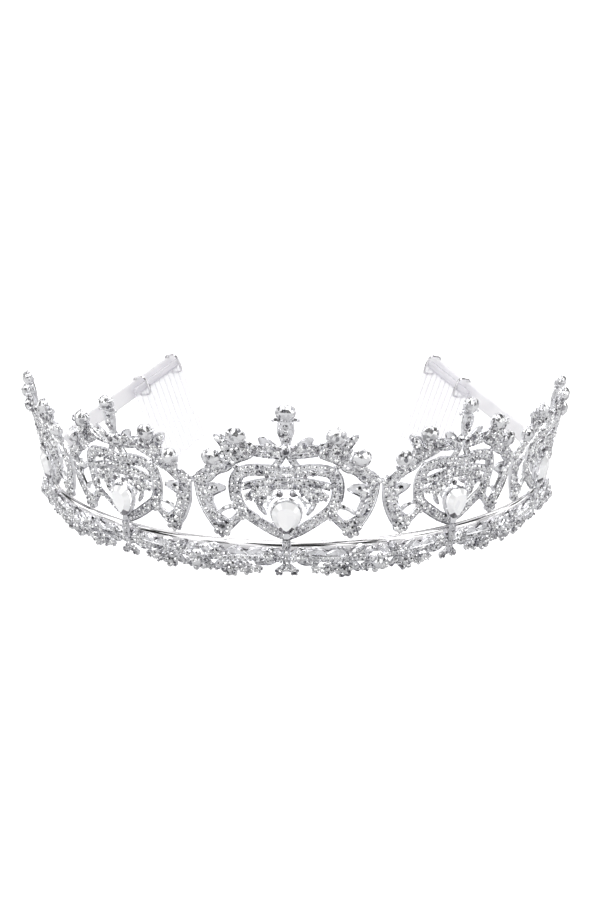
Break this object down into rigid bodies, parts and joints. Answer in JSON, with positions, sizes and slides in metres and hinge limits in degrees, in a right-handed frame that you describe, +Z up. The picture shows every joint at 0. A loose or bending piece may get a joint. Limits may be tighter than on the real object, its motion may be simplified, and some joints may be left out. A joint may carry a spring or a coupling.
{
  "type": "bridal tiara",
  "caption": "Open tiara of openwork heart motifs with claw-set stones on a narrow spring band, with a clear comb hinged in wire ties at each tail.",
  "frame": {"origin": "under the middle of the whole piece, on the surface that it stands on", "axes": "+Z up, the front of the tiara faces -Y, +X towards the end of the tiara that is on the right when it is seen from the front"},
  "size_m": [0.1612, 0.166, 0.0468],
  "materials": {
    "band": "polished rhodium plate",
    "casting": "polished rhodium plate set with small stones",
    "wire": "bright drawn wire",
    "round_stone": "clear faceted crystal with a silvered back",
    "pear_stone": "clear faceted crystal with a silvered back",
    "comb": "clear moulded plastic"
  },
  "bodies": {
    "crown": {"base_band": "band", "left_outer_motif_casting": "casting", "left_outer_finial_casting": "casting", "left_outer_swag_casting": "casting", "left_outer_pear_stone": "pear_stone", "left_outer_finial_stone": "round_stone", "left_outer_upper_stone_left": "round_stone", "left_outer_lower_stone_left": "round_stone", "left_outer_upper_stone_right": "round_stone", "left_outer_lower_stone_right": "round_stone", "left_inner_motif_casting": "casting", "left_inner_finial_casting": "casting", "left_inner_swag_casting": "casting", "left_inner_pear_stone": "pear_stone", "left_inner_finial_stone": "round_stone", "left_inner_upper_stone_left": "round_stone", "left_inner_lower_stone_left": "round_stone", "left_inner_upper_stone_right": "round_stone", "left_inner_lower_stone_right": "round_stone", "middle_motif_casting": "casting", "middle_finial_casting": "casting", "middle_swag_casting": "casting", "middle_pear_stone": "pear_stone", "middle_finial_stone": "round_stone", "middle_upper_stone_left": "round_stone", "middle_lower_stone_left": "round_stone", "middle_upper_stone_right": "round_stone", "middle_lower_stone_right": "round_stone", "right_inner_motif_casting": "casting", "right_inner_finial_casting": "casting", "right_inner_swag_casting": "casting", "right_inner_pear_stone": "pear_stone", "right_inner_finial_stone": "round_stone", "right_inner_upper_stone_left": "round_stone", "right_inner_lower_stone_left": "round_stone", "right_inner_upper_stone_right": "round_stone", "right_inner_lower_stone_right": "round_stone", "right_outer_motif_casting": "casting", "right_outer_finial_casting": "casting", "right_outer_swag_casting": "casting", "right_outer_pear_stone": "pear_stone", "right_outer_finial_stone": "round_stone", "right_outer_upper_stone_left": "round_stone", "right_outer_lower_stone_left": "round_stone", "right_outer_upper_stone_right": "round_stone", "right_outer_lower_stone_right": "round_stone", "swag_stone_left_1": "round_stone", "swag_stone_left_2": "round_stone", "swag_stone_left_3": "round_stone", "swag_stone_right_1": "round_stone", "swag_stone_right_2": "round_stone", "swag_stone_right_3": "round_stone", "left_wire_tie_1": "wire", "left_wire_tie_2": "wire", "right_wire_tie_1": "wire", "right_wire_tie_2": "wire"},
    "left_comb": {"left_comb": "comb"},
    "right_comb": {"right_comb": "comb"}
  },
  "joints": [
    {"name": "left_comb_hinge", "type": "hinge", "parent": "crown", "child": "left_comb", "pos_m": [-0.05031, 0.06744, 0.03164], "axis": [-0.4703, -0.8319, -0.2946], "range_deg": [-12, 25]},
    {"name": "right_comb_hinge", "type": "hinge", "parent": "crown", "child": "right_comb", "pos_m": [0.05031, 0.06744, 0.03164], "axis": [-0.4703, 0.8319, 0.2946], "range_deg": [-12, 25]}
  ]
}
